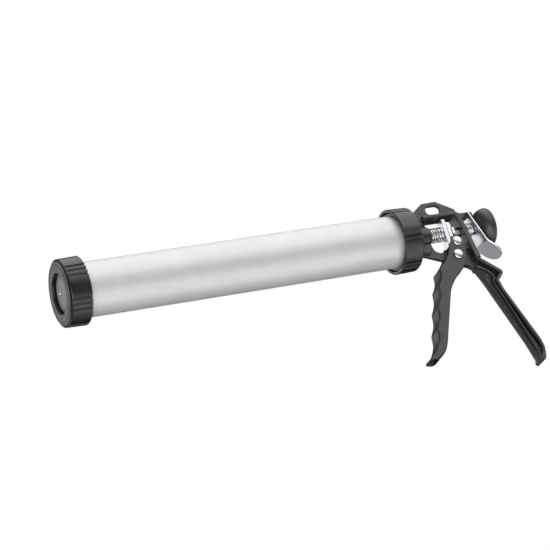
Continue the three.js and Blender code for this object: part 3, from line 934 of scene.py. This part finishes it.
def dress_kept_nodes():
    """CAD pieces whose shape is right keep it, with a small bevel and a real material."""
    dressed = {
        "front_collar": PLASTIC, "rear_collar": PLASTIC, "end_plug": PLASTIC, "cap_seal": RUBBER,
        "plug_nut": ZINC, "rod_bush": NYLON, "pivot_bush": ZINC, "drive_roller": ZINC,
        "piston_cup": RUBBER, "piston_back_plate": ZINC, "piston_nut": ZINC,
    }
    for name, material in dressed.items():
        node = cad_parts[name]
        node.material_slots[0].material = material
        bevel = node.modifiers.new("edges", "BEVEL")
        bevel.width = 0.25 * MM
        bevel.segments = 2
        bevel.angle_limit = math.radians(40)


# Studio


def make_floor():
    """A pale floor that the camera sees but that gives the gun no light and no shade."""
    height, size = -1.0, 14.0
    mesh = bpy.data.meshes.new("floor")
    corners = [(-size, -size), (size, -size), (size, size), (-size, size)]
    mesh.from_pydata([(x, y, height) for x, y in corners], [], [[0, 1, 2, 3]])
    n = Nodes("floor_paint")
    n.set(Base_Color=n.mix(n.noise(3, 3), (0.88, 0.88, 0.88), (0.92, 0.92, 0.92)), Roughness=0.9)
    mesh.materials.append(n.material)
    floor = bpy.data.objects.new("floor", mesh)
    bpy.context.scene.collection.objects.link(floor)
    floor.visible_glossy = False
    floor.visible_diffuse = False
    floor.visible_shadow = False


# Each soft box: its direction from the gun, the angles it fades between, and its level.
SOFT_BOXES = [
    ((0.45, -0.35, 0.82), 34, 62, 1.4),
    ((-0.62, 0.68, 0.38), 10, 28, 1.3),
    ((-0.45, 0.82, -0.35), 8, 34, 0.4),
    ((0.38, -0.32, -0.86), 12, 40, 1.1),
    ((0.35, 0.30, -0.88), 8, 30, 0.3),
    ((-0.50, -0.62, -0.60), 15, 40, 2.1),
]


def make_world():
    """A dim room with soft boxes round the gun, white only where the camera looks at it."""
    world = bpy.data.worlds.new("tent")
    bpy.context.scene.world = world
    world.use_nodes = True
    tree = world.node_tree
    direction = tree.nodes.new("ShaderNodeTexCoord").outputs["Generated"]

    def math_node(operation, first, second):
        node = tree.nodes.new("ShaderNodeMath")
        node.operation = operation
        for socket, value in zip(node.inputs, (first, second)):
            if isinstance(value, (int, float)):
                socket.default_value = value
            else:
                tree.links.new(value, socket)
        return node.outputs[0]

    def soft_patch(towards, inner, outer, low, high):
        """high within inner degrees of a direction, low beyond outer degrees."""
        dot = tree.nodes.new("ShaderNodeVectorMath")
        dot.operation = "DOT_PRODUCT"
        dot.inputs[1].default_value = Vector(towards).normalized()
        tree.links.new(direction, dot.inputs[0])
        ease = tree.nodes.new("ShaderNodeMapRange")
        ease.interpolation_type = "SMOOTHSTEP"
        ease.inputs["From Min"].default_value = math.cos(math.radians(outer))
        ease.inputs["From Max"].default_value = math.cos(math.radians(inner))
        ease.inputs["To Min"].default_value = low
        ease.inputs["To Max"].default_value = high
        tree.links.new(dot.outputs["Value"], ease.inputs["Value"])
        return ease.outputs["Result"]

    light = soft_patch((0, 0, 1), 60, 110, 0.04, 0.12)
    for towards, inner, outer, level in SOFT_BOXES:
        light = math_node("ADD", light, soft_patch(towards, inner, outer, 0, level))
    seen = tree.nodes.new("ShaderNodeLightPath").outputs["Is Camera Ray"]
    strength = tree.nodes.new("ShaderNodeMix")
    tree.links.new(seen, strength.inputs[0])
    tree.links.new(light, strength.inputs[2])
    strength.inputs[3].default_value = 1.0
    background = tree.nodes["Background"]
    background.inputs["Color"].default_value = (1, 1, 1, 1)
    tree.links.new(strength.outputs[0], background.inputs["Strength"])


# The camera's place is from the barrel's axis at the rear ring, in metres.
CAMERA_PLACE = (-0.98202, -1.69685, -0.75549)
CAMERA_RIGHT = (0.90243, -0.30540, -0.30389)
CAMERA_BACK = (-0.40642, -0.83753, -0.36520)
CAMERA_LENS = 133.67


def make_camera():
    """Low on the gun's front left, at about two metres with a long lens."""
    right = Vector(CAMERA_RIGHT)
    back = Vector(CAMERA_BACK).normalized()
    up = back.cross(right).normalized()
    right = up.cross(back)
    data = bpy.data.cameras.new("camera")
    data.lens = CAMERA_LENS
    data.sensor_width = 36
    camera = bpy.data.objects.new("camera", data)
    bpy.context.scene.collection.objects.link(camera)
    turned = Matrix((right, up, back)).transposed().to_4x4()
    camera.matrix_world = Matrix.Translation(ORIGIN + Vector(CAMERA_PLACE)) @ turned
    bpy.context.scene.camera = camera


make_tube()
make_screw_cap("front_screw_cap", "front_cap", "front_cap", CAP_FRONT, CAP_REAR, FRONT_GRIP_PHASE)
make_screw_cap("rear_screw_cap", "rear_ring", "rear_ring", RING_REAR, RING_FRONT, REAR_GRIP_PHASE)
make_frame()
make_trigger()
make_rivet("pivot_rivet_head", "pivot_rivet", "frame", PIVOT)
make_rivet("drive_rivet_head", "drive_rivet", "trigger", DRIVE_PIN)
make_drive_plates()
make_springs()
make_release_plate()
make_rod()
make_knob()
make_piston()
dress_kept_nodes()
make_floor()
make_world()
make_camera()
bpy.context.scene.view_settings.view_transform = "Standard"
